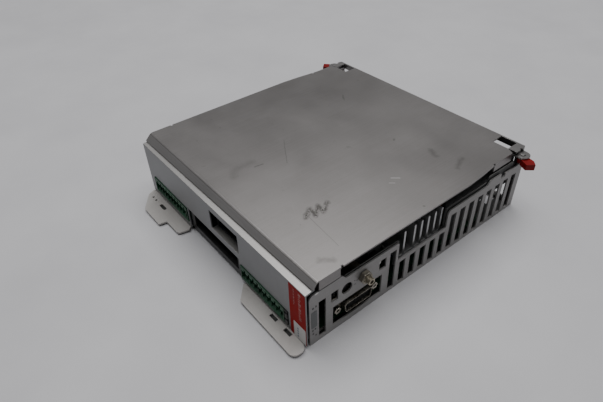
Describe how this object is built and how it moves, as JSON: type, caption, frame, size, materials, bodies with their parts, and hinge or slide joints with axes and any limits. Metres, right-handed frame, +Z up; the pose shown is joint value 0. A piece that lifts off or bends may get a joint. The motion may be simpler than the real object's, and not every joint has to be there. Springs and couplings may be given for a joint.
{
  "type": "servo drive",
  "caption": "Flat cabinet servo drive on its side: bent sheet cover, slotted side wall, plug headers and shield brackets at the front, latches at the rear.",
  "frame": {"origin": "middle of the flat base, at the surface the drive lies on", "axes": "+Z up through the top cover, -Y out of the front panel with the plug headers, +X out of the slotted wall with the interface socket"},
  "size_m": [0.2434, 0.244, 0.058],
  "materials": {
    "steel": "worn brushed stainless sheet, fine scratches",
    "zinc": "zinc-plated sheet, slightly warm",
    "panel_grey": "satin grey sheet",
    "black_film": "matte insulating film",
    "black_plastic": "satin moulded plastic",
    "board_green": "solder-masked circuit board",
    "header_green": "moulded plug header",
    "aluminium": "extruded, dusty",
    "nickel": "nickel plated, dulled",
    "capacitor_blue": "shrink sleeve",
    "copper": "enamelled copper wire",
    "core_yellow": "taped winding",
    "lever_red": "moulded red plastic",
    "white_plastic": "moulded white plastic",
    "ceramic": "glazed ceramic tube"
  },
  "bodies": {
    "drive": {"bay_socket": "black_plastic", "board_standoff_1": "nickel", "board_standoff_2": "nickel", "board_standoff_3": "nickel", "board_standoff_4": "nickel", "bracket_pad_left": "black_film", "bracket_pad_right": "black_film", "bracket_screw_1": "zinc", "bracket_screw_2": "zinc", "bracket_screw_3": "zinc", "bracket_screw_4": "zinc", "brake_resistor": "aluminium", "button_housing": "black_plastic", "charge_relay": "black_plastic", "chassis": "steel", "control_board": "board_green", "control_post_1": "nickel", "control_post_2": "nickel", "dc_capacitor_1": "capacitor_blue", "dc_capacitor_2": "capacitor_blue", "dc_capacitor_3": "capacitor_blue", "dc_capacitor_4": "capacitor_blue", "dial_housing": "black_plastic", "dsub_insert": "black_plastic", "dsub_jackscrew_front": "nickel", "dsub_jackscrew_rear": "nickel", "dsub_shell": "nickel", "edge_insulation": "black_film", "fan_frame": "black_plastic", "filter_choke": "copper", "front_panel": "panel_grey", "header_end_block": "black_plastic", "heat_sink": "aluminium", "latch_pin_left": "nickel", "latch_pin_right": "nickel", "line_fuse": "ceramic", "main_board": "board_green", "motor_socket": "black_plastic", "plug_header_left": "header_green", "plug_header_right": "header_green", "port_body": "nickel", "port_nut": "nickel", "power_module": "black_plastic", "rear_plate": "steel", "screen_front": "black_film", "screen_rear": "black_film", "shield_bracket_left": "zinc", "shield_bracket_right": "zinc", "switch_housing": "black_plastic", "top_cover": "steel", "transformer": "core_yellow"},
    "fan": {"fan_rotor": "black_plastic"},
    "latch_right": {"latch_lever_right": "lever_red"},
    "latch_left": {"latch_lever_left": "lever_red"},
    "dial": {"address_dial": "black_plastic"},
    "slider_1": {"switch_slider_1": "black_plastic"},
    "slider_2": {"switch_slider_2": "black_plastic"},
    "button": {"reset_button": "white_plastic"}
  },
  "joints": [
    {"name": "fan_spin", "type": "hinge", "parent": "drive", "child": "fan", "pos_m": [-0.09925, -0.00545, 0.029], "axis": [1, 0, 0], "continuous": true},
    {"name": "latch_right_swing", "type": "hinge", "parent": "drive", "child": "latch_right", "pos_m": [0.10855, 0.09925, 0.0507], "axis": [0, 0, 1], "range_deg": [-25, 30]},
    {"name": "latch_left_swing", "type": "hinge", "parent": "drive", "child": "latch_left", "pos_m": [-0.10855, 0.09925, 0.0507], "axis": [0, 0, 1], "range_deg": [-30, 25]},
    {"name": "dial_turn", "type": "hinge", "parent": "drive", "child": "dial", "pos_m": [0.10325, -0.08065, 0.0329], "axis": [1, 0, 0], "continuous": true},
    {"name": "slider_1_slide", "type": "slide", "parent": "drive", "child": "slider_1", "axis": [0, 0, 1], "range_m": [0, 0.0026]},
    {"name": "slider_2_slide", "type": "slide", "parent": "drive", "child": "slider_2", "axis": [0, 0, 1], "range_m": [0, 0.0026]},
    {"name": "button_press", "type": "slide", "parent": "drive", "child": "button", "axis": [1, 0, 0], "range_m": [-0.0013, 0], "stiffness_N_per_m": 150}
  ]
}
